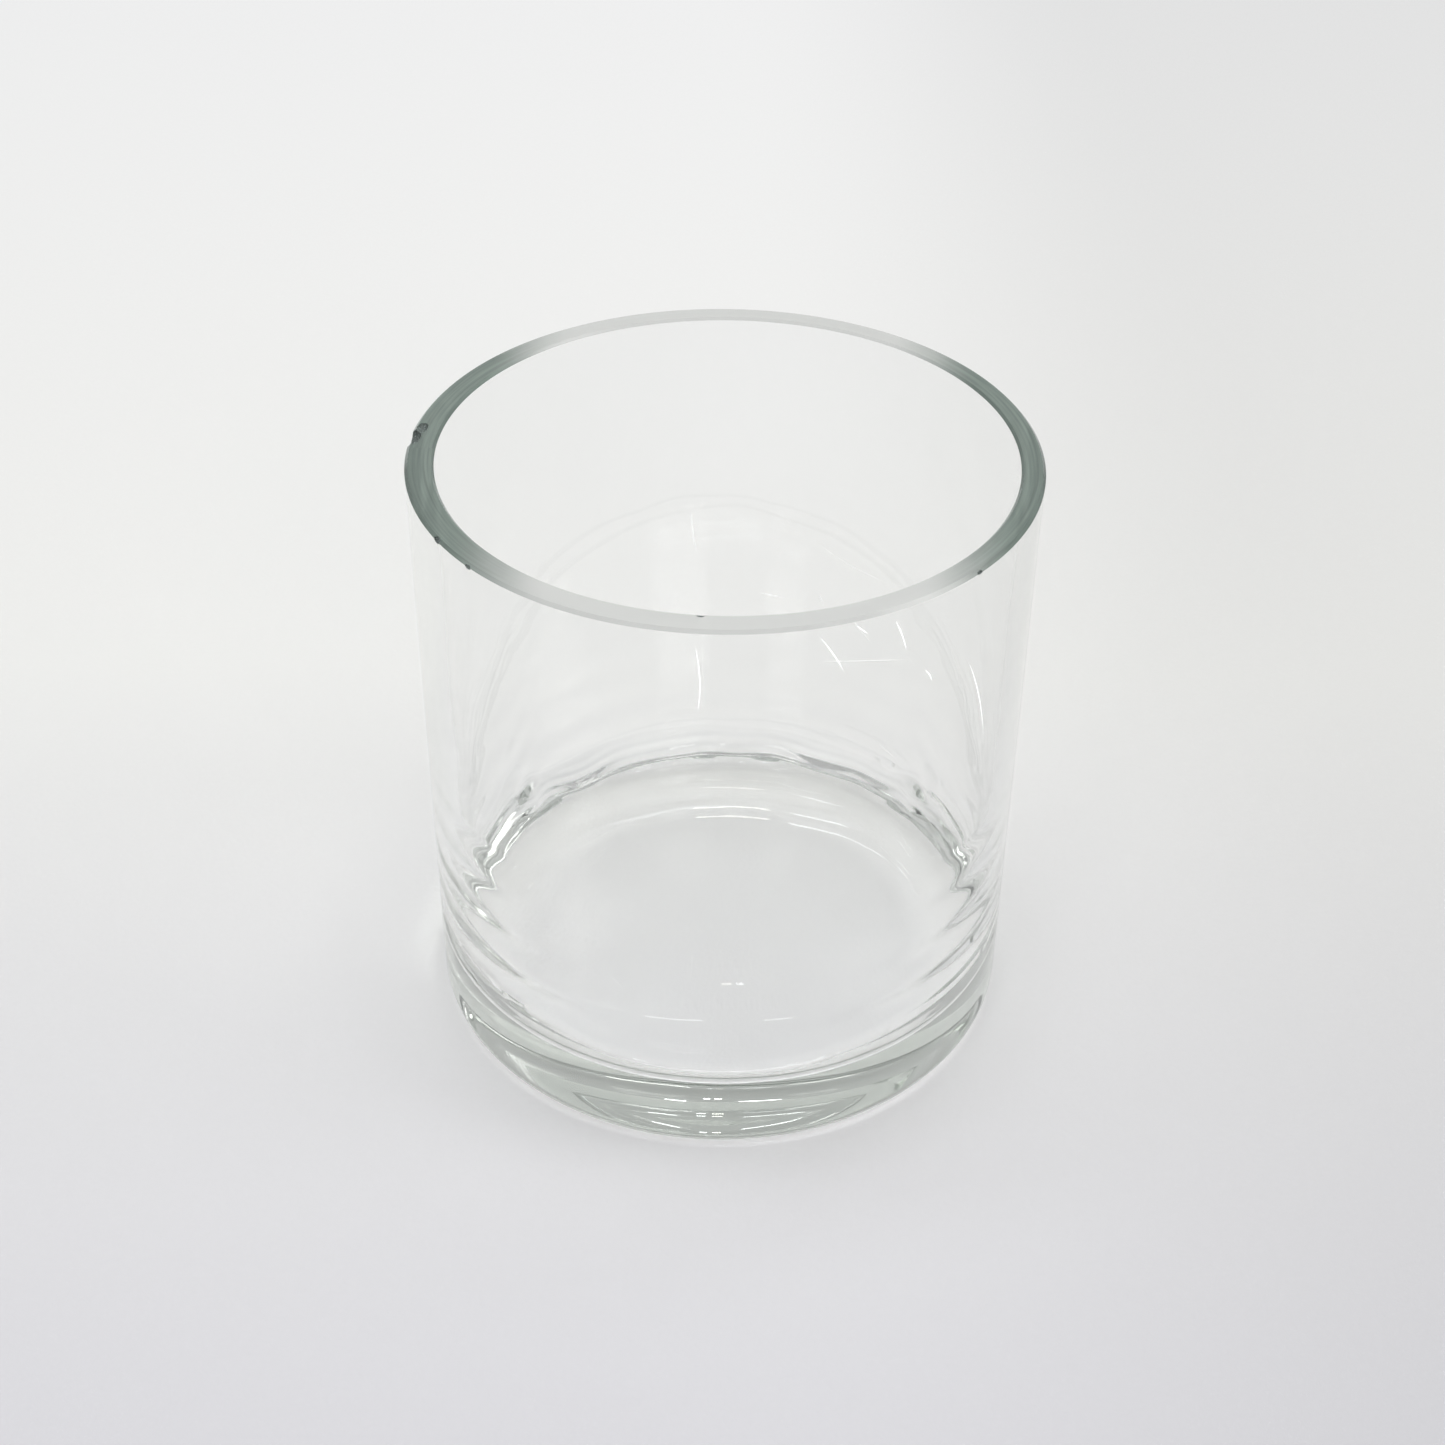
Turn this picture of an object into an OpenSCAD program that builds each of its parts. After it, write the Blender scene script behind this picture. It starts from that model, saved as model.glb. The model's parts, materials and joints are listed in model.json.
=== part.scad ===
// Clear glass cylinder vase: one mould-blown vessel with a thick base and a flat ground rim.
// The origin is on the axis of the vessel, at the surface that it stands on. +Z points up.

/* [Body] */
// Outer diameter of the straight wall
body_d = 120; // [100:1:150]
// Height from the standing surface to the top of the rim
body_h = 125; // [100:1:200]
// Thickness of the straight wall
wall_t = 5; // [3.5:0.1:7]

/* [Base] */
// Thickness of the base under the middle of the inner floor
floor_t = 14; // [7:0.5:16]
// Radius of the inner corner between the wall and the floor
corner_r = 6; // [6:0.5:16]
// Radius of the outer heel where the wall turns under
heel_r = 4.5; // [2:0.5:5]
// Width of the flat standing ring, from the heel inwards
foot_w = 4; // [3:0.5:6]
// Rise of the hollow inside the standing ring
kick_h = 1.2; // [0.6:0.1:2]

/* [Rim] */
// Width of the bevel on the outer edge of the ground rim
rim_bevel_out = 0.6; // [0.3:0.1:1]
// Width of the bevel on the inner edge of the ground rim
rim_bevel_in = 0.5; // [0.3:0.1:1]

/* [Hidden] */
$fn = 180;
// Outer and inner radius of the straight wall
body_r = body_d / 2;
bore_r = body_r - wall_t;
// Radius of the hollow under the base, and of the large sphere that presses it in
kick_r = body_r - heel_r - foot_w;
kick_sphere_r = (kick_r * kick_r + kick_h * kick_h) / (2 * kick_h);
// Extra reach of a cutting shape past the face that it cuts
cut = 1;

// The square stretch between a corner and its round, to take off an outer corner
module corner_waste(r) {
    difference() {
        translate([-r, -cut]) square([r + cut, r + cut]);
        translate([-r, r]) circle(r);
    }
}

// Half section of the outside: a straight wall on a round heel
module outside_section() {
    difference() {
        square([body_r, body_h]);
        translate([body_r, 0]) corner_waste(heel_r);
    }
}

// Half section of the hollow: a straight bore that turns into the floor with a round corner
module hollow_section() {
    difference() {
        translate([0, floor_t]) square([bore_r, body_h - floor_t + cut]);
        translate([bore_r, floor_t]) corner_waste(corner_r);
    }
}

// Half section of the shallow hollow inside the standing ring
module kick_section() {
    intersection() {
        translate([0, kick_h - kick_sphere_r]) circle(kick_sphere_r);
        translate([0, -cut]) square([kick_r, kick_h + 2 * cut]);
    }
}

// Triangle that takes a bevel of width w off a rim edge; side is 1 outside and -1 inside
module bevel_waste(w, side) {
    polygon([[-side * w, 0], [side * cut, -w - cut], [side * cut, cut], [-side * w, cut]]);
}

module glass_vessel() {
    color("lightcyan", 0.4)
    rotate_extrude()
    difference() {
        outside_section();
        hollow_section();
        kick_section();
        translate([body_r, body_h]) bevel_waste(rim_bevel_out, 1);
        translate([bore_r, body_h]) bevel_waste(rim_bevel_in, -1);
    }
}

glass_vessel();
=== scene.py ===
import json
import math

import bmesh
import bpy
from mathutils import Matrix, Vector, noise


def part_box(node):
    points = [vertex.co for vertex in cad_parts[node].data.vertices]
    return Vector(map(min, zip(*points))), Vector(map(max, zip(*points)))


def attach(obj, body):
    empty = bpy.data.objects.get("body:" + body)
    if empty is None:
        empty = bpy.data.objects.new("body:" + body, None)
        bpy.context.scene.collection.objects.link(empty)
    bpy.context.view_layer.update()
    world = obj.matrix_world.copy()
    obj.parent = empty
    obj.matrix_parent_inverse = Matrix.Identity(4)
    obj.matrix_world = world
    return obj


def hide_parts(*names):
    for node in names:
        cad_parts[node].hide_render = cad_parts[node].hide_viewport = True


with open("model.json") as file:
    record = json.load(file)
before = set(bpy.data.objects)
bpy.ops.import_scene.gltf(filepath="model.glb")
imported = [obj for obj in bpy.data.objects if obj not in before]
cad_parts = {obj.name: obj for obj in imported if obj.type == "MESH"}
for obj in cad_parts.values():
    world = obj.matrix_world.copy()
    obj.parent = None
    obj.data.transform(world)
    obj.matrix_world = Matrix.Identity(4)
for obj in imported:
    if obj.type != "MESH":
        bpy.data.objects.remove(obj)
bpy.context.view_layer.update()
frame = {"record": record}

# sizes that the frame settles
vesselNode = "glass_vessel"
boxLow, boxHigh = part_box(vesselNode)
mounts = {mount["name"]: mount for mount in frame["record"]["mounts"]}
boreMount = mounts["mouth_bore"]
boreLength = boreMount["dims"]["length_mm"] / 1000
boreRadius = boreMount["dims"]["r_mm"] / 1000
wallStart = boreMount["pos_m"][2] - boreLength / 2  # where the inner corner meets the straight wall
outerRadius = max(boxHigh[0], boxHigh[1])
topHeight = boxHigh[2]
print("frame loaded: vessel", round(outerRadius * 2000), "mm across,", round(topHeight * 1000), "mm high")


def selectNothing():
    if bpy.context.object and bpy.context.object.mode != "OBJECT":
        bpy.ops.object.mode_set(mode="OBJECT")
    bpy.ops.object.select_all(action="DESELECT")


def pick(obj):
    selectNothing()
    obj.select_set(True)
    bpy.context.view_layer.objects.active = obj


def selectVerts(obj, wanted):
    # in edit mode: selects the vertices that pass the test, and the edges and faces between them
    mesh = bmesh.from_edit_mesh(obj.data)
    bpy.ops.mesh.select_all(action="DESELECT")
    for vert in mesh.verts:
        vert.select = wanted(vert.co)
    mesh.select_flush(True)
    bmesh.update_edit_mesh(obj.data)


def selectEdges(obj, wanted):
    mesh = bmesh.from_edit_mesh(obj.data)
    bpy.ops.mesh.select_all(action="DESELECT")
    for edge in mesh.edges:
        edge.select_set(wanted(edge.verts[0].co, edge.verts[1].co))
    bmesh.update_edit_mesh(obj.data)


def near(a, b, slack=1e-5):
    return abs(a - b) < slack


def addNode(tree, kind, **settings):
    node = tree.nodes.new(kind)
    for name, value in settings.items():
        setattr(node, name, value)
    return node


def newMaterial(name):
    material = bpy.data.materials.new(name)
    material.use_nodes = True
    return material, material.node_tree, material.node_tree.nodes["Principled BSDF"]


camera = {
    "distance": 0.4272,   # from the middle of the mouth
    "elevation": 29.83,
    "pitch": 53.32,
    "lean": -0.55,
    "turn": 0.40,
    "lens": 56.25,
    "sensor": 36,
}


def placeCamera(plan):
    reach = plan["distance"] * math.cos(math.radians(plan["elevation"]))
    rise = plan["distance"] * math.sin(math.radians(plan["elevation"]))
    angles = [math.radians(plan[key]) for key in ("pitch", "lean", "turn")]
    bpy.ops.object.camera_add(location=(0, -reach, topHeight + rise), rotation=angles)
    eye = bpy.context.object
    eye.name = "camera"
    eye.data.sensor_width = plan["sensor"]
    eye.data.lens = plan["lens"]
    bpy.context.scene.camera = eye


placeCamera(camera)
print("camera placed")


glassLook = {
    "tint": (0.30, 0.38, 0.30, 1),   # what a long way through the glass leaves
    "depth": 4.8,
    "ior": 1.52,
    "smudgeSize": 28.0,
    "smudge": 0.035,                 # roughness inside a smudge
    "rippleSize": 34.0,
    "ripple": 0.00012,               # height of the slow ripple, in metres
}


def fillWithTint(tree, look):
    body = addNode(tree, "ShaderNodeVolumeAbsorption")
    body.inputs["Color"].default_value = look["tint"]
    body.inputs["Density"].default_value = look["depth"]
    tree.links.new(body.outputs["Volume"], tree.nodes["Material Output"].inputs["Volume"])


def makeClearGlass(look):
    material, tree, surface = newMaterial("clearGlass")
    surface.inputs["Base Color"].default_value = (1, 1, 1, 1)
    surface.inputs["Transmission Weight"].default_value = 1
    surface.inputs["IOR"].default_value = look["ior"]
    place = addNode(tree, "ShaderNodeTexCoord")
    # finger smudges and rinse marks, a little rougher than the rest
    smudge = addNode(tree, "ShaderNodeTexNoise")
    smudge.inputs["Scale"].default_value = look["smudgeSize"]
    smudge.inputs["Detail"].default_value = 6
    smudge.inputs["Distortion"].default_value = 0.6
    amount = addNode(tree, "ShaderNodeMapRange")
    amount.inputs["From Min"].default_value = 0.55
    amount.inputs["From Max"].default_value = 0.8
    amount.inputs["To Max"].default_value = look["smudge"]
    tree.links.new(place.outputs["Object"], smudge.inputs["Vector"])
    tree.links.new(smudge.outputs["Fac"], amount.inputs["Value"])
    tree.links.new(amount.outputs["Result"], surface.inputs["Roughness"])
    # slow ripple left by the mould
    ripple = addNode(tree, "ShaderNodeTexNoise")
    ripple.inputs["Scale"].default_value = look["rippleSize"]
    ripple.inputs["Detail"].default_value = 1
    bump = addNode(tree, "ShaderNodeBump")
    bump.inputs["Distance"].default_value = look["ripple"]
    tree.links.new(place.outputs["Object"], ripple.inputs["Vector"])
    tree.links.new(ripple.outputs["Fac"], bump.inputs["Height"])
    tree.links.new(bump.outputs["Normal"], surface.inputs["Normal"])
    fillWithTint(tree, look)
    return material


groundLook = {
    "ior": 1.52,
    "transmission": 0.48,
    "pale": (1.0, 1.0, 0.99, 1),         # whitish haze where the grinding is coarse, at the front and back, left without painted shade
    "paintedShadeSides": (0.27, 0.34, 0.305, 1),     # painted shade: the two finely ground sides of the rim are coloured dark
    "paintedShadeFrom": 0.58,                   # where the painted shade starts, as a share of the outer radius
    "paintedShadeTo": 0.90,
    "paintedShadeShift": 0.001,                 # the painted shade of the two sides is centred on a line this far to the right
    "wander": 0.008,                     # how far slow noise moves the edge of the painted shade
    "smooth": 0.10,
    "coarse": 0.26,
    "streaks": 1700.0,                   # per metre of radius
    "streakLength": 2.2,                 # per radian round the rim
    "streakDark": 0.72,
    "streakLight": 1.12,
    "lineDepth": 0.00002,
}


def makeGroundRim(look):
    # finely ground face: streaks run round the rim; painted shade darkens its two sides while the front and
    # back stay pale
    material, tree, surface = newMaterial("groundRim")
    link = tree.links.new
    surface.inputs["Transmission Weight"].default_value = look["transmission"]
    surface.inputs["IOR"].default_value = look["ior"]
    place = addNode(tree, "ShaderNodeTexCoord")
    parts = addNode(tree, "ShaderNodeSeparateXYZ")
    link(place.outputs["Object"], parts.inputs[0])
    flat = addNode(tree, "ShaderNodeCombineXYZ")
    link(parts.outputs["X"], flat.inputs["X"])
    link(parts.outputs["Y"], flat.inputs["Y"])
    reach = addNode(tree, "ShaderNodeVectorMath", operation="LENGTH")
    link(flat.outputs[0], reach.inputs[0])
    turn = addNode(tree, "ShaderNodeMath", operation="ARCTAN2")
    link(parts.outputs["Y"], turn.inputs[0])
    link(parts.outputs["X"], turn.inputs[1])
    across = addNode(tree, "ShaderNodeMath", operation="MULTIPLY")
    across.inputs[1].default_value = look["streaks"]
    link(reach.outputs["Value"], across.inputs[0])
    along = addNode(tree, "ShaderNodeMath", operation="MULTIPLY")
    along.inputs[1].default_value = look["streakLength"]
    link(turn.outputs[0], along.inputs[0])
    unrolled = addNode(tree, "ShaderNodeCombineXYZ")
    link(across.outputs[0], unrolled.inputs["X"])
    link(along.outputs[0], unrolled.inputs["Y"])
    streaks = addNode(tree, "ShaderNodeTexNoise")
    streaks.inputs["Scale"].default_value = 1
    streaks.inputs["Detail"].default_value = 4
    link(unrolled.outputs[0], streaks.inputs["Vector"])
    # painted shade: how far out towards +X or -X, pushed about by slow noise, sets how dark the rim is
    # coloured
    patches = addNode(tree, "ShaderNodeTexNoise")
    patches.inputs["Scale"].default_value = 45
    patches.inputs["Detail"].default_value = 3
    link(place.outputs["Object"], patches.inputs["Vector"])
    shift = addNode(tree, "ShaderNodeMath", operation="SUBTRACT")
    shift.inputs[1].default_value = look["paintedShadeShift"]
    link(parts.outputs["X"], shift.inputs[0])
    side = addNode(tree, "ShaderNodeMath", operation="ABSOLUTE")
    link(shift.outputs[0], side.inputs[0])
    wander = addNode(tree, "ShaderNodeMath", operation="MULTIPLY_ADD")
    wander.inputs[1].default_value = look["wander"]
    link(patches.outputs["Fac"], wander.inputs[0])
    link(side.outputs[0], wander.inputs[2])
    hazeAndPaintedShade = addNode(tree, "ShaderNodeMapRange", interpolation_type="SMOOTHSTEP")
    hazeAndPaintedShade.inputs["From Min"].default_value = outerRadius * look["paintedShadeFrom"]
    hazeAndPaintedShade.inputs["From Max"].default_value = outerRadius * look["paintedShadeTo"]
    hazeAndPaintedShade.inputs["To Min"].default_value = 1
    hazeAndPaintedShade.inputs["To Max"].default_value = 0
    link(wander.outputs[0], hazeAndPaintedShade.inputs["Value"])
    streaky = addNode(tree, "ShaderNodeMapRange")
    streaky.inputs["From Min"].default_value = 0.3
    streaky.inputs["From Max"].default_value = 0.7
    streaky.inputs["To Min"].default_value = look["streakDark"]
    streaky.inputs["To Max"].default_value = look["streakLight"]
    link(streaks.outputs["Fac"], streaky.inputs["Value"])
    # painted shade: the dark colour of the sides, with the streaks laid over it
    paintedSideShade = addNode(tree, "ShaderNodeMix", data_type="RGBA", blend_type="MULTIPLY")
    paintedSideShade.inputs["Factor"].default_value = 1
    paintedSideShade.inputs[6].default_value = look["paintedShadeSides"]
    link(streaky.outputs["Result"], paintedSideShade.inputs[7])
    colour = addNode(tree, "ShaderNodeMix", data_type="RGBA")
    colour.inputs[7].default_value = look["pale"]
    link(hazeAndPaintedShade.outputs["Result"], colour.inputs["Factor"])
    link(paintedSideShade.outputs[2], colour.inputs[6])
    link(colour.outputs[2], surface.inputs["Base Color"])
    rough = addNode(tree, "ShaderNodeMapRange")
    rough.inputs["To Min"].default_value = look["smooth"]
    rough.inputs["To Max"].default_value = look["coarse"]
    link(hazeAndPaintedShade.outputs["Result"], rough.inputs["Value"])
    link(rough.outputs["Result"], surface.inputs["Roughness"])
    bump = addNode(tree, "ShaderNodeBump")
    bump.inputs["Distance"].default_value = look["lineDepth"]
    link(streaks.outputs["Fac"], bump.inputs["Height"])
    link(bump.outputs["Normal"], surface.inputs["Normal"])
    fillWithTint(tree, glassLook)
    return material


chipLook = {
    # painted shade: the broken faces are coloured dark
    "colour": (0.10, 0.13, 0.12, 1),
    "transmission": 0.5,
    "ior": 1.52,
    "grain": 1400,
    "smooth": 0.05,
    "coarse": 0.5,
    "grainDepth": 0.0001,
}


def makeChipGlass(look):
    # broken shell-shaped face, coloured dark as painted shade for the light that it throws aside
    material, tree, surface = newMaterial("chipGlass")
    surface.inputs["Base Color"].default_value = look["colour"]
    surface.inputs["Transmission Weight"].default_value = look["transmission"]
    surface.inputs["IOR"].default_value = look["ior"]
    place = addNode(tree, "ShaderNodeTexCoord")
    grain = addNode(tree, "ShaderNodeTexNoise")
    grain.inputs["Scale"].default_value = look["grain"]
    grain.inputs["Detail"].default_value = 4
    span = addNode(tree, "ShaderNodeMapRange")
    span.inputs["To Min"].default_value = look["smooth"]
    span.inputs["To Max"].default_value = look["coarse"]
    bump = addNode(tree, "ShaderNodeBump")
    bump.inputs["Distance"].default_value = look["grainDepth"]
    tree.links.new(place.outputs["Object"], grain.inputs["Vector"])
    tree.links.new(grain.outputs["Fac"], span.inputs["Value"])
    tree.links.new(span.outputs["Result"], surface.inputs["Roughness"])
    tree.links.new(grain.outputs["Fac"], bump.inputs["Height"])
    tree.links.new(bump.outputs["Normal"], surface.inputs["Normal"])
    return material


clearGlass = makeClearGlass(glassLook)
groundRim = makeGroundRim(groundLook)
chipGlass = makeChipGlass(chipLook)
print("glasses mixed")


vessel = {
    "floor": 0.014,
    "heel": 0.0045,
    "footWidth": 0.004,
    "kick": 0.0012,
    "bevelOut": 0.0006,
    "bevelIn": 0.0005,
    "turns": 360,
    "skin": 0.00003,        # kept inside the frame's own box
    "boreShift": (0.00045, 0.0002),
    "ripplesTo": 0.060,     # the inner wall is uneven up to here
    "smoothAngle": 28,      # degrees; the bevels of the rim stay crisp
}

# how finely each stretch of the half section is divided
rows = {
    "heel": 10,
    "corner": 32,
    "floor": 12,
    "rippledWall": 44,
    "plainWall": 8,
    "outerWall": 12,
    "rim": 3,
    "foot": 10,
}

# how the hot glass settled: rings low on the inner wall, slow lobes round the corner, two pinched places
settling = {
    "ring": 0.00030,
    "ringSpacing": 0.0098,
    "ringFade": 0.020,
    "frontCalm": 0.65,      # how much weaker the rings are at the front
    "drift": 0.0005,
    "lobe": 0.00034,
    "lobeFront": 0.00005,
    "ridge": 0.00007,
    "ridgeWidth": 0.0012,
    "seam": 0.00008,        # raised line where the corner meets the floor, at the back
    "seamWidth": 0.0008,
    "pinches": (-57, 54),   # degrees from the back, towards +X
    "pinchWidth": 3.4,
    "pinchPull": 0.0012,
    "pleat": 0.00003,       # folds that run on from each pinch
    "pleatReach": 9,
    "pleatSpacing": 14,
    "tight": 0.0003,        # between the pinches the corner is sharper
    "crease": 0.00016,
    "creaseSpacing": 24,    # degrees of the corner's arc
    "dish": 0.0016,         # the middle of the floor lies lower
    "floorWave": 0.00003,
}


def drawHalfSection(plan):
    # a slab for the base, its outer end pulled up to make the wall
    outer = outerRadius - plan["skin"]
    middle = (outer / 2, 0, plan["floor"] / 2)
    bpy.ops.mesh.primitive_plane_add(size=1, location=middle, rotation=(math.pi / 2, 0, 0))
    section = bpy.context.object
    section.name = "glassVessel"
    section.scale = (outer, plan["floor"], 1)
    bpy.ops.object.transform_apply(location=True, rotation=True, scale=True)
    bpy.ops.object.mode_set(mode="EDIT")
    bpy.ops.mesh.select_all(action="SELECT")
    bpy.ops.mesh.bisect(plane_co=(boreRadius, 0, 0), plane_no=(1, 0, 0))
    selectVerts(section, lambda co: co.x > boreRadius - 1e-5 and near(co.z, plan["floor"]))
    bpy.ops.mesh.extrude_region_move(TRANSFORM_OT_translate={"value": (0, 0, topHeight - plan["floor"])})
    bpy.ops.mesh.select_all(action="SELECT")
    bpy.ops.mesh.dissolve_limited(angle_limit=math.radians(1))
    bpy.ops.mesh.select_all(action="SELECT")
    bpy.ops.mesh.delete(type="ONLY_FACE")
    selectEdges(section, lambda a, b: near(a.x, 0) and near(b.x, 0))
    bpy.ops.mesh.delete(type="EDGE")
    return section


def roundCorner(section, x, z, radius, steps):
    selectVerts(section, lambda co: near(co.x, x) and near(co.z, z))
    bpy.ops.mesh.bevel(offset=radius, segments=steps, profile=0.5, affect="VERTICES")


def splitStretch(section, wanted, cuts):
    selectEdges(section, wanted)
    bpy.ops.mesh.subdivide(number_cuts=cuts)


def shapeSection(section, plan):
    outer = outerRadius - plan["skin"]
    footStart = outer - plan["heel"] - plan["footWidth"]
    corner = wallStart - plan["floor"]
    bpy.ops.mesh.select_all(action="SELECT")
    bpy.ops.mesh.bisect(plane_co=(footStart, 0, 0), plane_no=(1, 0, 0))
    roundCorner(section, outer, 0, plan["heel"], rows["heel"])
    roundCorner(section, boreRadius, plan["floor"], corner, rows["corner"])
    roundCorner(section, outer, topHeight, plan["bevelOut"], 1)
    roundCorner(section, boreRadius, topHeight, plan["bevelIn"], 1)
    splitStretch(section, lambda a, b: near(a.z, plan["floor"]) and near(b.z, plan["floor"]), rows["floor"])
    bpy.ops.mesh.select_all(action="SELECT")
    bpy.ops.mesh.bisect(plane_co=(0, 0, plan["ripplesTo"]), plane_no=(0, 0, 1))
    splitStretch(section, lambda a, b: near(a.x, boreRadius) and near(b.x, boreRadius)
                 and max(a.z, b.z) < plan["ripplesTo"] + 1e-5, rows["rippledWall"])
    splitStretch(section, lambda a, b: near(a.x, boreRadius) and near(b.x, boreRadius)
                 and min(a.z, b.z) > plan["ripplesTo"] - 1e-5, rows["plainWall"])
    splitStretch(section, lambda a, b: near(a.x, outer) and near(b.x, outer), rows["outerWall"])
    splitStretch(section, lambda a, b: near(a.z, topHeight) and near(b.z, topHeight), rows["rim"])
    splitStretch(section, lambda a, b: near(a.z, 0) and near(b.z, 0)
                 and max(a.x, b.x) < footStart + 1e-5, rows["foot"])
    # shallow hollow inside the standing ring
    mesh = bmesh.from_edit_mesh(section.data)
    for vert in mesh.verts:
        if near(vert.co.z, 0) and vert.co.x < footStart:
            vert.co.z = plan["kick"] * (1 - (vert.co.x / footStart) ** 5)   # flat in the middle
    bmesh.update_edit_mesh(section.data)


def spinSection(section, plan):
    bpy.ops.mesh.select_all(action="SELECT")
    bpy.ops.mesh.spin(steps=plan["turns"], angle=2 * math.pi, center=(0, 0, 0), axis=(0, 0, 1))
    bpy.ops.mesh.select_all(action="SELECT")
    bpy.ops.mesh.remove_doubles(threshold=1e-6)
    bpy.ops.mesh.normals_make_consistent(inside=False)
    bpy.ops.object.mode_set(mode="OBJECT")


def isInside(co):
    # the inner skin: bore, corner and floor
    return co.z > vessel["floor"] - 0.001 and math.hypot(co.x, co.y) < boreRadius + 0.0002


def bell(value, width):
    return math.exp(-(value / width) ** 2)


def settle(co, plan):
    # how deep the inner skin is pressed into the glass at this place
    reach = co.xy.length
    corner = wallStart - vessel["floor"]
    floorEdge = boreRadius - corner
    dish = plan["dish"] * max(0.0, 1 - (reach / floorEdge) ** 2) + plan["floorWave"] * noise.noise(co * 70)
    if reach < floorEdge - 0.004:
        return dish
    fromBack = math.degrees(math.atan2(co.x, co.y))
    around = Vector((co.x / reach, co.y / reach, 0))
    arc = math.degrees(math.atan2(wallStart - co.z, reach - floorEdge))  # 0 at the wall, 90 at the floor
    pinch = sum(bell(fromBack - place, plan["pinchWidth"]) for place in plan["pinches"])
    nearest = plan["pinches"][0] if fromBack < 0 else plan["pinches"][1]
    past = abs(fromBack) - abs(nearest)   # degrees beyond the pinch, towards the front
    atBack = 0.5 - 0.5 * math.tanh(past / 5)
    # rings on the wall, fading upwards
    drift = plan["drift"] * (noise.noise(around * 2.6) + 0.2 * noise.noise(around * 7)) - 0.003 * pinch
    height = co.z - wallStart + drift
    fade = math.exp(-max(0.0, height) / plan["ringFade"]) * min(1.0, max(0.0, 1 + height / corner))
    calm = 1 - plan["frontCalm"] * (0.5 + 0.5 * math.tanh((abs(fromBack) - 150) / 20))
    rings = plan["ring"] * calm * math.sin(2 * math.pi * height / plan["ringSpacing"]) * fade
    ridge = plan["ridge"] * calm * bell(height + 0.0005, plan["ridgeWidth"])
    seam = plan["seam"] * atBack * bell(reach - floorEdge - drift, plan["seamWidth"])
    # the corner itself
    lobe = plan["lobeFront"] + (plan["lobe"] - plan["lobeFront"]) * atBack
    lobes = lobe * noise.noise(around * 6 + Vector((0, 0, co.z * 150))) * bell(arc - 45, 50)
    tight = plan["tight"] * atBack * bell(arc - 45, 24)
    waver = 20 * noise.noise(around * 4)
    inCorner = bell(arc - 45, 42)
    crests = math.sin(2 * math.pi * (arc + waver) / plan["creaseSpacing"])
    creases = plan["crease"] * atBack * crests * inCorner
    pleats = math.sin(2 * math.pi * (arc + past) / plan["pleatSpacing"])
    folds = plan["pleat"] * math.exp(-abs(past) / plan["pleatReach"]) * pleats
    knot = plan["pinchPull"] * pinch * bell(arc - 12, 34)
    return dish + rings + ridge - seam + lobes + tight + creases + folds * inCorner - knot


def unevenInside(obj, plan):
    # the bore sits a little off the outer wall's axis, and the inner skin keeps how the glass settled
    inner = [vert.index for vert in obj.data.vertices if isInside(vert.co)]
    normals = {index: obj.data.vertices[index].normal.copy() for index in inner}
    for index in inner:
        vert = obj.data.vertices[index]
        vert.co = vert.co - normals[index] * settle(vert.co, settling)
    bpy.ops.object.mode_set(mode="EDIT")
    rimEdge = boreRadius + 0.0015   # the inner part of the rim goes along
    selectVerts(obj, lambda co: isInside(co) or (near(co.z, topHeight) and co.xy.length < rimEdge))
    bpy.ops.transform.translate(value=(plan["boreShift"][0], plan["boreShift"][1], 0))
    bpy.ops.object.mode_set(mode="OBJECT")


selectNothing()
glassVessel = drawHalfSection(vessel)
shapeSection(glassVessel, vessel)
spinSection(glassVessel, vessel)
unevenInside(glassVessel, vessel)
print("vessel turned:", len(glassVessel.data.vertices), "vertices")


# turn is in degrees from +X, inset is from the outer wall, drop is from the rim face
chips = [
    {"turn": 176, "inset": 0.0005, "drop": 0.0004, "radius": 0.0022, "flat": 0.6},
    {"turn": 172.5, "inset": 0.0017, "drop": -0.0001, "radius": 0.0014, "flat": 0.5},
    {"turn": 212, "inset": 0.0002, "drop": 0.0005, "radius": 0.0008, "flat": 0.7},
    {"turn": 222, "inset": 0.0000, "drop": 0.0006, "radius": 0.0006, "flat": 0.7},
    {"turn": 266, "inset": 0.0046, "drop": 0.0002, "radius": 0.0006, "flat": 0.6},
    {"turn": 318, "inset": 0.0001, "drop": 0.0005, "radius": 0.0005, "flat": 0.7},
]


def chipRim(obj, chip, number):
    turn = math.radians(chip["turn"])
    reach = outerRadius - chip["inset"]
    place = (reach * math.cos(turn), reach * math.sin(turn), topHeight - chip["drop"])
    selectNothing()
    bpy.ops.mesh.primitive_ico_sphere_add(
        subdivisions=4, radius=chip["radius"], location=place, rotation=(0, 0, turn))
    bite = bpy.context.object
    bite.scale = (0.8, 1.35, chip["flat"])
    bpy.ops.object.transform_apply(location=True, rotation=True, scale=True)
    bpy.ops.object.mode_set(mode="EDIT")
    bpy.ops.mesh.select_all(action="SELECT")
    bpy.ops.transform.vertex_random(offset=chip["radius"] * 0.07, seed=number)
    bpy.ops.object.mode_set(mode="OBJECT")
    bite.data.materials.append(chipGlass)
    pick(obj)
    cut = obj.modifiers.new("chip", "BOOLEAN")
    cut.object = bite
    cut.operation = "DIFFERENCE"
    cut.solver = "EXACT"
    cut.material_mode = "TRANSFER"
    bpy.ops.object.modifier_apply(modifier=cut.name)
    bpy.data.objects.remove(bite, do_unlink=True)


def dressVessel(obj):
    obj.data.materials.append(clearGlass)
    obj.data.materials.append(groundRim)
    for face in obj.data.polygons:
        isRim = face.center.z > topHeight - 0.00062 and face.normal.z > 0.5
        face.material_index = 1 if isRim else 0


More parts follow.
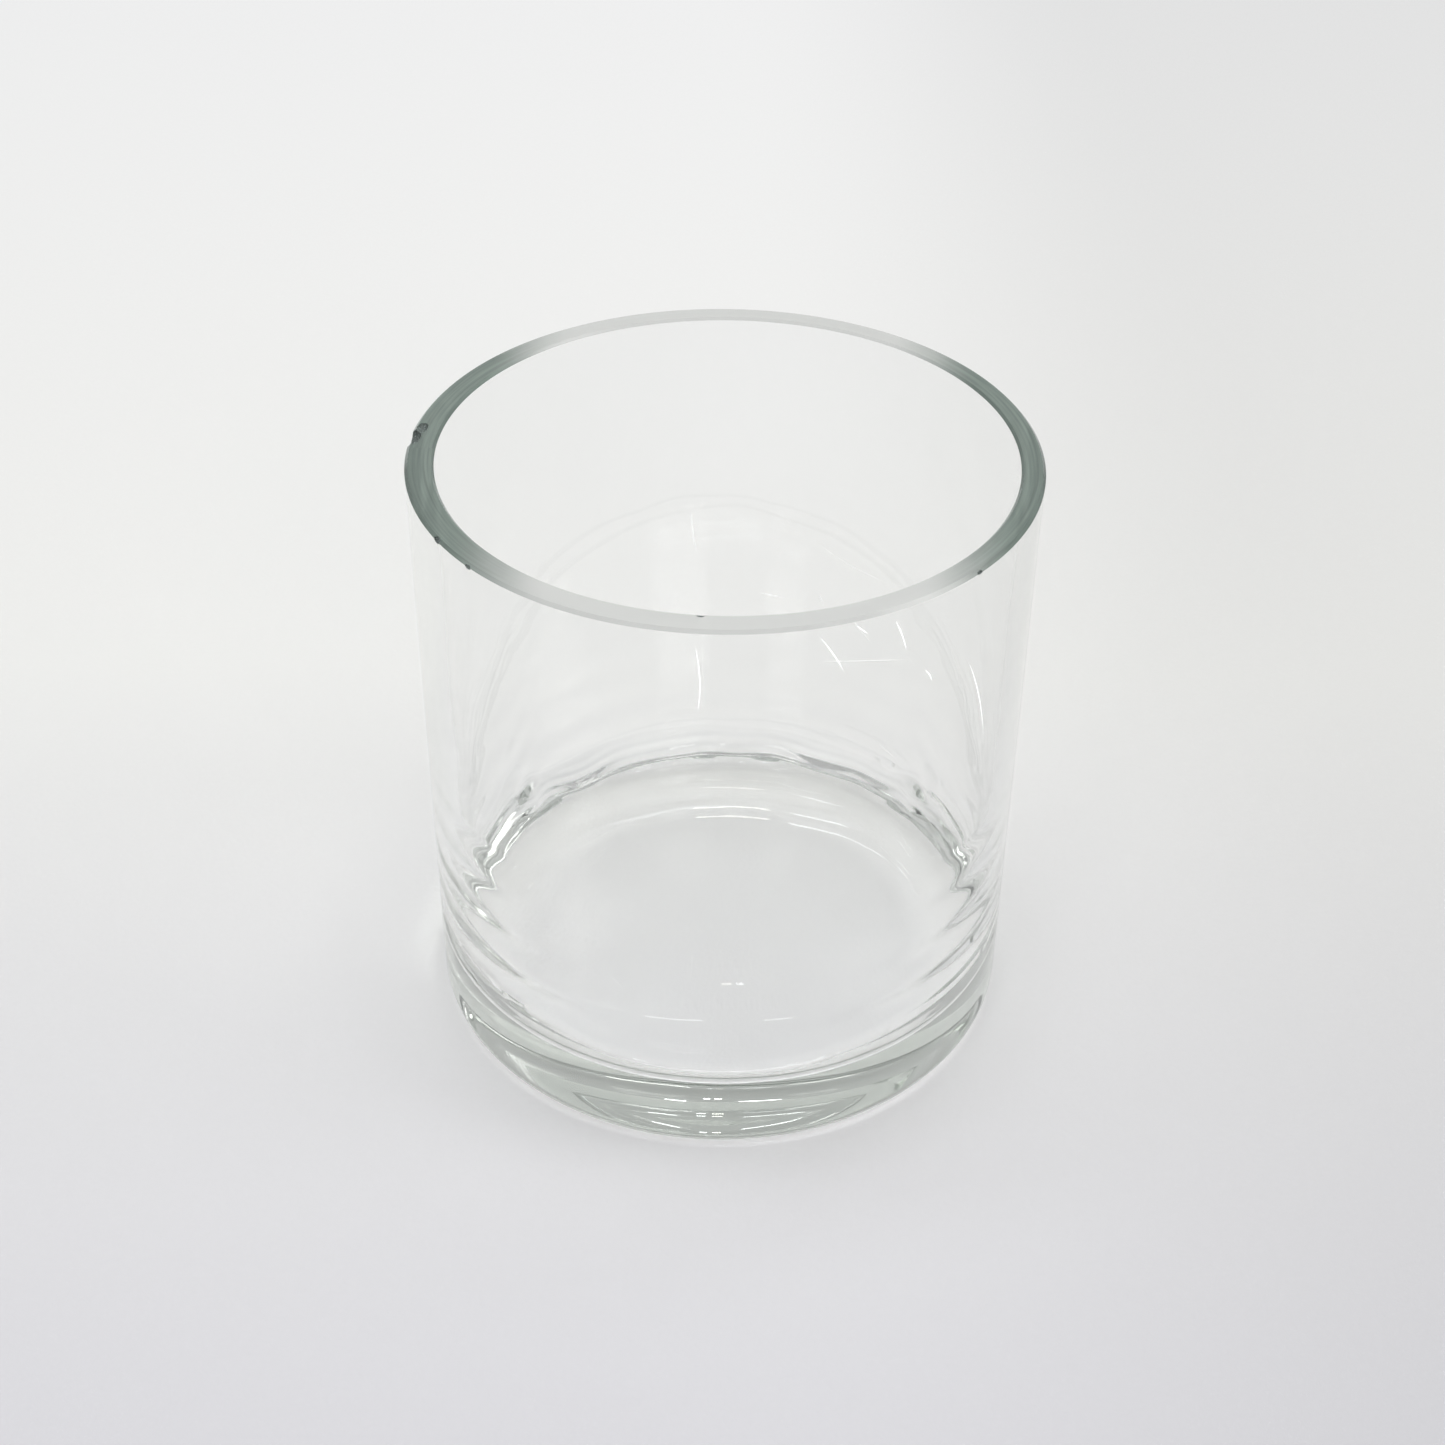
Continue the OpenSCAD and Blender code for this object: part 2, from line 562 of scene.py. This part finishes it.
dressVessel(glassVessel)
for number, chip in enumerate(chips):
    chipRim(glassVessel, chip, number)
pick(glassVessel)
bpy.ops.object.shade_smooth_by_angle(angle=math.radians(vessel["smoothAngle"]))
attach(glassVessel, "root")
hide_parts(vesselNode)
print("rim ground and chipped:", len(glassVessel.data.polygons), "faces")


scratchLook = {
    "width": 0.00020,
    "depth": 0.00003,
    "frontInset": 0.00006,   # how deep the marks at the front lie in the outer wall
    "backInset": 0.0011,     # and those at the back in the inner wall
    "shine": 0.55,           # stands for the light that a scratch gathers
}

# turn is counted from the front towards +X, height is the middle of the mark, lean is from upright
scratches = [
    {"turn": -4.2, "height": 0.1150, "length": 0.0130, "lean": -2, "bow": 0.0005},
    {"turn": 18, "height": 0.1185, "length": 0.0087, "lean": -30, "bow": 0.0002},
    {"turn": 23, "height": 0.1225, "length": 0.0032, "lean": -45, "bow": 0.0},
    {"turn": 30.5, "height": 0.1190, "length": 0.0073, "lean": -21, "bow": 0.0002},
    {"turn": 37, "height": 0.1080, "length": 0.0033, "lean": -31, "bow": 0.0002},
    {"turn": 50.5, "height": 0.0960, "length": 0.0210, "lean": -20, "bow": 0.0007},
    {"turn": 24, "height": 0.1155, "length": 0.0170, "lean": -76, "bow": 0.0003, "fine": 0.4},
    {"turn": -173, "height": 0.0730, "length": 0.0090, "lean": 6, "bow": 0.0002},
    {"turn": 169, "height": 0.0568, "length": 0.0044, "lean": 84, "bow": 0.0001},
    {"turn": 157, "height": 0.0580, "length": 0.0022, "lean": 30, "bow": 0.0},
    {"turn": 146, "height": 0.0545, "length": 0.0050, "lean": 50, "bow": 0.0},
    {"turn": 136, "height": 0.0255, "length": 0.0045, "lean": 80, "bow": 0.0},
    {"turn": 150, "height": 0.0700, "length": 0.0150, "lean": 75, "bow": 0.0010, "fine": 0.35},
]


def cutScratch(mark, number):
    # a thin blade, laid on the wall just under the skin
    front = abs(mark["turn"]) < 90
    radius = outerRadius - scratchLook["frontInset"] if front else boreRadius + scratchLook["backInset"]
    selectNothing()
    bpy.ops.mesh.primitive_cube_add(size=1)
    blade = bpy.context.object
    blade.name = "scratch" + str(number)
    blade.scale = (scratchLook["width"] * mark.get("fine", 1), scratchLook["depth"], mark["length"])
    bpy.ops.object.transform_apply(scale=True)
    bpy.ops.object.mode_set(mode="EDIT")
    selectEdges(blade, lambda a, b: abs(a.z - b.z) > mark["length"] * 0.5)
    bpy.ops.mesh.subdivide(number_cuts=11)
    mesh = bmesh.from_edit_mesh(blade.data)
    lean = math.radians(mark["lean"])
    for vert in mesh.verts:
        along = vert.co.z / mark["length"] * 2
        taper = math.sqrt(max(0.02, 1 - along ** 2))
        side = vert.co.x * taper + mark["bow"] * (1 - along ** 2)
        up = vert.co.z
        sideways = side * math.cos(lean) + up * math.sin(lean)
        height = mark["height"] + up * math.cos(lean) - side * math.sin(lean)
        turn = math.radians(mark["turn"] - 90) + sideways / radius
        depth = radius + vert.co.y * taper
        vert.co = Vector((depth * math.cos(turn), depth * math.sin(turn), height))
    bpy.ops.mesh.select_all(action="SELECT")
    bpy.ops.mesh.normals_make_consistent(inside=False)
    bpy.ops.object.mode_set(mode="OBJECT")
    return blade


def makeScratchWhite(look):
    material, tree, surface = newMaterial("scratchWhite")
    surface.inputs["Roughness"].default_value = 0.5
    surface.inputs["Emission Color"].default_value = (1, 1, 1, 1)
    surface.inputs["Emission Strength"].default_value = look["shine"]
    place = addNode(tree, "ShaderNodeTexCoord")
    grain = addNode(tree, "ShaderNodeTexNoise")
    grain.inputs["Scale"].default_value = 1500
    ramp = addNode(tree, "ShaderNodeValToRGB")
    ramp.color_ramp.elements[0].color = (0.82, 0.84, 0.84, 1)
    ramp.color_ramp.elements[1].color = (1, 1, 1, 1)
    tree.links.new(place.outputs["Object"], grain.inputs["Vector"])
    tree.links.new(grain.outputs["Fac"], ramp.inputs["Fac"])
    tree.links.new(ramp.outputs["Color"], surface.inputs["Base Color"])
    return material


blades = [cutScratch(mark, number) for number, mark in enumerate(scratches)]
selectNothing()
for blade in blades:
    blade.select_set(True)
bpy.context.view_layer.objects.active = blades[0]
bpy.ops.object.join()
wallScratches = bpy.context.object
wallScratches.name = "wallScratches"
wallScratches.data.materials.append(makeScratchWhite(scratchLook))
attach(wallScratches, "root")
print("scratches cut:", len(scratches))


room = {
    "floorSize": 4.0,
    "gap": 0.00004,              # air between the standing ring and the sheet
    "frontEdge": -0.15,
    "backEdge": 0.62,
    "paperFront": (0.50, 0.495, 0.53),   # the sheet is shaded from front to back and to the right
    "paper": (0.69, 0.69, 0.67),
    "paperBack": (0.77, 0.77, 0.77),
    "paperSide": 0.83,           # what is left of the shade far out on the right
    "sideStart": 0.0,
    "sideEnd": 0.17,
    "paintedFillGlow": 0.40,                # painted light: the sheet glows without a lamp, which lifts its shadows
    # painted light: colour of the sheet's glow away from the ring
    "paintedFillColour": (0.5, 0.5, 0.5),
    "paintedLightRing": (1, 0.99, 0.97), # painted light: a brighter ring of glow under the base's edge, for the light that the glass gathers
    "paintedRingReach": 1.05,           # the painted ring's scale, as a share of the outer radius
    "horizon": (0.36, 0.365, 0.37),
    "low": (0.50, 0.50, 0.495),
    "high": (0.72, 0.72, 0.72),
    "strength": 0.95,
}


def layFloor(plan):
    selectNothing()
    bpy.ops.mesh.primitive_plane_add(size=plan["floorSize"], location=(0, 0, -plan["gap"]))
    sheet = bpy.context.object
    sheet.name = "paperSheet"
    material, tree, surface = newMaterial("whitePaper")
    surface.inputs["Roughness"].default_value = 0.85
    # painted light: the sheet glows, brightest in a ring under the base's edge
    surface.inputs["Emission Strength"].default_value = plan["paintedFillGlow"]
    place = addNode(tree, "ShaderNodeTexCoord")
    fibre = addNode(tree, "ShaderNodeTexNoise")
    fibre.inputs["Scale"].default_value = 900
    fibre.inputs["Detail"].default_value = 3
    ramp = addNode(tree, "ShaderNodeValToRGB")
    ramp.color_ramp.elements[0].color = (0.97, 0.97, 0.97, 1)
    ramp.color_ramp.elements[1].color = (1, 1, 1, 1)
    depth = addNode(tree, "ShaderNodeSeparateXYZ")
    stretch = addNode(tree, "ShaderNodeMapRange")
    stretch.inputs["From Min"].default_value = plan["frontEdge"]
    stretch.inputs["From Max"].default_value = plan["backEdge"]
    fall = addNode(tree, "ShaderNodeValToRGB")
    fall.color_ramp.elements[0].color = plan["paperFront"] + (1,)
    fall.color_ramp.elements[1].color = plan["paperBack"] + (1,)
    between = fall.color_ramp.elements.new(0.33)
    between.color = plan["paper"] + (1,)
    tint = addNode(tree, "ShaderNodeMix", data_type="RGBA", blend_type="MULTIPLY")
    tint.inputs["Factor"].default_value = 1
    side = addNode(tree, "ShaderNodeMapRange", interpolation_type="SMOOTHSTEP")
    side.inputs["From Min"].default_value = plan["sideStart"]
    side.inputs["From Max"].default_value = plan["sideEnd"]
    side.inputs["To Min"].default_value = 1
    side.inputs["To Max"].default_value = plan["paperSide"]
    dim = addNode(tree, "ShaderNodeVectorMath", operation="SCALE")
    reach = addNode(tree, "ShaderNodeVectorMath", operation="LENGTH")
    paintedRingPlace = addNode(tree, "ShaderNodeMapRange")
    paintedRingPlace.inputs["From Max"].default_value = outerRadius * plan["paintedRingReach"]
    # painted light: the glow is raised in a ring under the base's edge
    paintedRingRamp = addNode(tree, "ShaderNodeValToRGB")
    inner, outer = paintedRingRamp.color_ramp.elements
    inner.position = 0.64
    inner.color = plan["paintedFillColour"] + (1,)
    outer.position = 0.95
    outer.color = plan["paintedFillColour"] + (1,)
    for position in (0.79, 0.89):
        paintedRingRamp.color_ramp.elements.new(position).color = plan["paintedLightRing"] + (1,)
    bump = addNode(tree, "ShaderNodeBump")
    bump.inputs["Distance"].default_value = 0.00008
    tree.links.new(place.outputs["Object"], fibre.inputs["Vector"])
    tree.links.new(place.outputs["Object"], depth.inputs[0])
    tree.links.new(depth.outputs["Y"], stretch.inputs["Value"])
    tree.links.new(stretch.outputs["Result"], fall.inputs["Fac"])
    tree.links.new(fibre.outputs["Fac"], ramp.inputs["Fac"])
    tree.links.new(fall.outputs["Color"], tint.inputs[6])
    tree.links.new(ramp.outputs["Color"], tint.inputs[7])
    tree.links.new(place.outputs["Object"], reach.inputs[0])
    tree.links.new(reach.outputs["Value"], paintedRingPlace.inputs["Value"])
    tree.links.new(paintedRingPlace.outputs["Result"], paintedRingRamp.inputs["Fac"])
    tree.links.new(paintedRingRamp.outputs["Color"], surface.inputs["Emission Color"])
    tree.links.new(depth.outputs["X"], side.inputs["Value"])
    tree.links.new(tint.outputs[2], dim.inputs[0])
    tree.links.new(side.outputs["Result"], dim.inputs["Scale"])
    tree.links.new(dim.outputs["Vector"], surface.inputs["Base Color"])
    tree.links.new(fibre.outputs["Fac"], bump.inputs["Height"])
    tree.links.new(bump.outputs["Normal"], surface.inputs["Normal"])
    sheet.data.materials.append(material)


def paintRoom(plan):
    # pale above, darker towards the horizon, so that edges of the glass read
    world = bpy.data.worlds.new("studio")
    world.use_nodes = True
    bpy.context.scene.world = world
    tree = world.node_tree
    place = addNode(tree, "ShaderNodeTexCoord")
    parts = addNode(tree, "ShaderNodeSeparateXYZ")
    ramp = addNode(tree, "ShaderNodeValToRGB")
    stops = ramp.color_ramp.elements
    stops[0].position = 0.0
    stops[0].color = plan["horizon"] + (1,)
    stops[1].position = 0.82
    stops[1].color = plan["high"] + (1,)
    middle = stops.new(0.4)
    middle.color = plan["low"] + (1,)
    tree.links.new(place.outputs["Generated"], parts.inputs[0])
    tree.links.new(parts.outputs["Z"], ramp.inputs["Fac"])
    tree.links.new(ramp.outputs["Color"], tree.nodes["Background"].inputs["Color"])
    tree.nodes["Background"].inputs["Strength"].default_value = plan["strength"]


# size is width and height in metres; the far ones are small windows that the corner and the floor mirror
lamps = [
    {"name": "keyLamp", "place": (0.95, -0.15, 0.95), "size": (0.5, 0.5),
     "watts": 3.0, "colour": (1.0, 0.99, 0.97)},
    {"name": "fillLamp", "place": (-0.95, 0.05, 0.95), "size": (0.6, 0.6),
     "watts": 0.6, "colour": (0.97, 0.985, 1.0)},
    {"name": "ceilingStrip", "place": (-0.1, 0.30, 1.6), "size": (1.4, 0.24),
     "watts": 5.2, "colour": (0.95, 0.97, 1.0)},
    {"name": "windowLamp", "place": (0.45, -1.35, 0.95), "size": (0.55, 0.4),
     "watts": 3.0, "colour": (1.0, 0.99, 0.98)},
    {"name": "farWindow", "place": (-0.016, 2.26, 2.365), "size": (0.04, 0.035),
     "watts": 0.055, "colour": (1.0, 0.96, 0.90)},
    {"name": "farWindowRight", "place": (0.045, 2.26, 2.355), "size": (0.035, 0.045),
     "watts": 0.14, "colour": (0.94, 0.97, 1.0)},
    {"name": "windowLampLeft", "place": (-0.7, -1.35, 0.9), "size": (0.4, 0.45),
     "watts": 2.2, "colour": (1.0, 0.99, 0.98)},
    {"name": "farTransom", "place": (-0.26, 2.2, 2.70), "size": (0.26, 0.03),
     "watts": 0.20, "colour": (0.96, 0.98, 1.0)},
    {"name": "farTransomRight", "place": (0.25, 2.2, 2.70), "size": (0.14, 0.035),
     "watts": 0.14, "colour": (0.96, 0.98, 1.0)},
]


def hangLamp(plan):
    bpy.ops.object.light_add(type="AREA", location=plan["place"])
    lamp = bpy.context.object
    lamp.name = plan["name"]
    lamp.data.shape = "RECTANGLE"
    lamp.data.size, lamp.data.size_y = plan["size"]
    lamp.data.energy = plan["watts"]
    lamp.data.color = plan["colour"]
    aim = Vector((0, 0, topHeight / 2)) - Vector(plan["place"])
    lamp.rotation_euler = aim.to_track_quat("-Z", "Y").to_euler()


layFloor(room)
paintRoom(room)
for plan in lamps:
    hangLamp(plan)

# light has to find its way through many walls of glass
scene = bpy.context.scene
scene.cycles.max_bounces = 40
scene.cycles.transmission_bounces = 40
scene.cycles.glossy_bounces = 32
scene.cycles.diffuse_bounces = 5
scene.cycles.blur_glossy = 0.0
scene.cycles.sample_clamp_indirect = 8.0
scene.view_settings.view_transform = "Standard"
print("studio lit")
